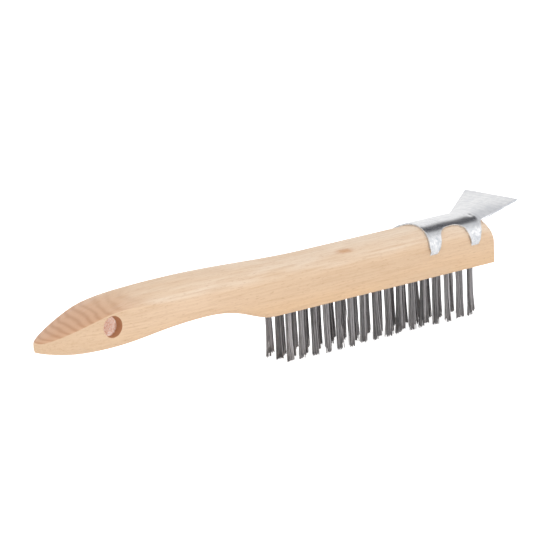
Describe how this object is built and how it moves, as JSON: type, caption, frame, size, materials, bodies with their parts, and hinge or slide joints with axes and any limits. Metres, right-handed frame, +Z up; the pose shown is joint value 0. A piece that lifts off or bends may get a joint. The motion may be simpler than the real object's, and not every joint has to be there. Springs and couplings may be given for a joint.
{
  "type": "wire scratch brush",
  "caption": "Hand wire brush: curved hardwood handle block with anchored rows of steel wire tufts, a hanging hole and a flared sheet-steel scraper clamped over the nose.",
  "frame": {"origin": "middle of the overall length and width, on the plane of the trimmed wire tips, which the brush stands on", "axes": "+X from the handle tip to the nose and the scraper's blade, +Y across the brush, +Z up from the wire tips to the top of the wood"},
  "size_m": [0.2806, 0.034, 0.0536],
  "materials": {
    "wood": "sanded bare hardwood, pale pinkish tan, matt",
    "wire": "dark drawn steel wire, satin",
    "galvanised_sheet": "galvanised sheet, light spangle, satin",
    "anchor_wire": "bright flat wire"
  },
  "bodies": {
    "root": {"handle_block": "wood", "scraper": "galvanised_sheet", "tuft_anchors": "anchor_wire", "tuft_c01_r1": "wire", "tuft_c01_r2": "wire", "tuft_c01_r3": "wire", "tuft_c02_r1": "wire", "tuft_c02_r2": "wire", "tuft_c02_r3": "wire", "tuft_c03_r1": "wire", "tuft_c03_r2": "wire", "tuft_c03_r3": "wire", "tuft_c04_r1": "wire", "tuft_c04_r2": "wire", "tuft_c04_r3": "wire", "tuft_c05_r1": "wire", "tuft_c05_r2": "wire", "tuft_c05_r3": "wire", "tuft_c06_r1": "wire", "tuft_c06_r2": "wire", "tuft_c06_r3": "wire", "tuft_c07_r1": "wire", "tuft_c07_r2": "wire", "tuft_c07_r3": "wire", "tuft_c08_r1": "wire", "tuft_c08_r2": "wire", "tuft_c08_r3": "wire", "tuft_c09_r1": "wire", "tuft_c09_r2": "wire", "tuft_c09_r3": "wire", "tuft_c10_r1": "wire", "tuft_c10_r2": "wire", "tuft_c10_r3": "wire", "tuft_c11_r1": "wire", "tuft_c11_r2": "wire", "tuft_c11_r3": "wire", "tuft_c12_r1": "wire", "tuft_c12_r2": "wire", "tuft_c12_r3": "wire", "tuft_c13_r1": "wire", "tuft_c13_r2": "wire", "tuft_c13_r3": "wire", "tuft_c14_r1": "wire", "tuft_c14_r2": "wire", "tuft_c14_r3": "wire", "tuft_c15_r1": "wire", "tuft_c15_r2": "wire", "tuft_c15_r3": "wire", "tuft_c16_r1": "wire", "tuft_c16_r2": "wire", "tuft_c16_r3": "wire"}
  },
  "joints": []
}
